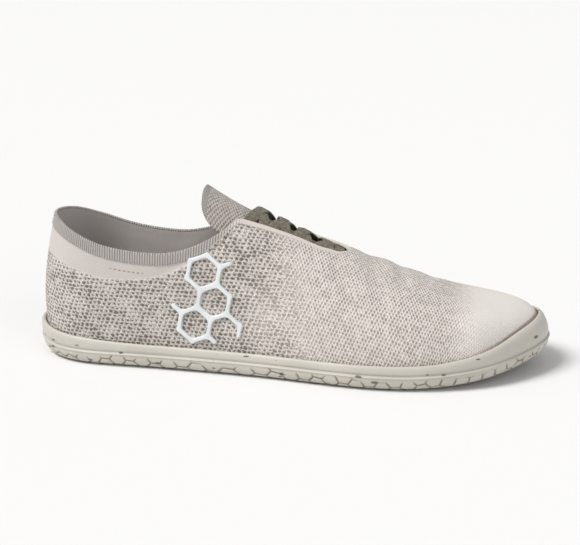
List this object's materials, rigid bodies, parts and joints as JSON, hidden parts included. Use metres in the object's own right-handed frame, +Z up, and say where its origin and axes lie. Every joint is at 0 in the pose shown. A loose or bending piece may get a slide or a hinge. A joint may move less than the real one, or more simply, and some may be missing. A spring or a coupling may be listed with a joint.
{
  "type": "barefoot shoe",
  "caption": "Low knitted barefoot shoe for the right foot: hollow open-knit upper with raised hexagon net, ribbed collar hem and flat laces, in a thin flexible cup sole with hexagon lugs.",
  "frame": {"origin": "middle of the bounding box in plan, on the plane that the lugs stand on", "axes": "+X to the toe, +Z up from the sole, -Y to the outer side of the foot"},
  "size_m": [0.2845, 0.106, 0.0956],
  "materials": {
    "sole_rubber": "satin off-white moulded rubber with sparse dark flecks",
    "stripe_rubber": "maroon moulded rubber running to coral at the front tip",
    "insole_fabric": "dark brushed fabric",
    "knit": "matt warm grey knit with small open holes",
    "tongue_knit": "matt warm grey fine knit",
    "lace": "flat woven olive brown cord with light specks",
    "net_film": "smooth cool white bonded film"
  },
  "bodies": {
    "root": {"outsole": "sole_rubber", "sole_stripe": "stripe_rubber", "insole": "insole_fabric", "upper": "knit", "tongue": "tongue_knit", "laces": "lace", "hex_overlay_lateral": "net_film", "hex_overlay_medial": "net_film"}
  },
  "joints": []
}
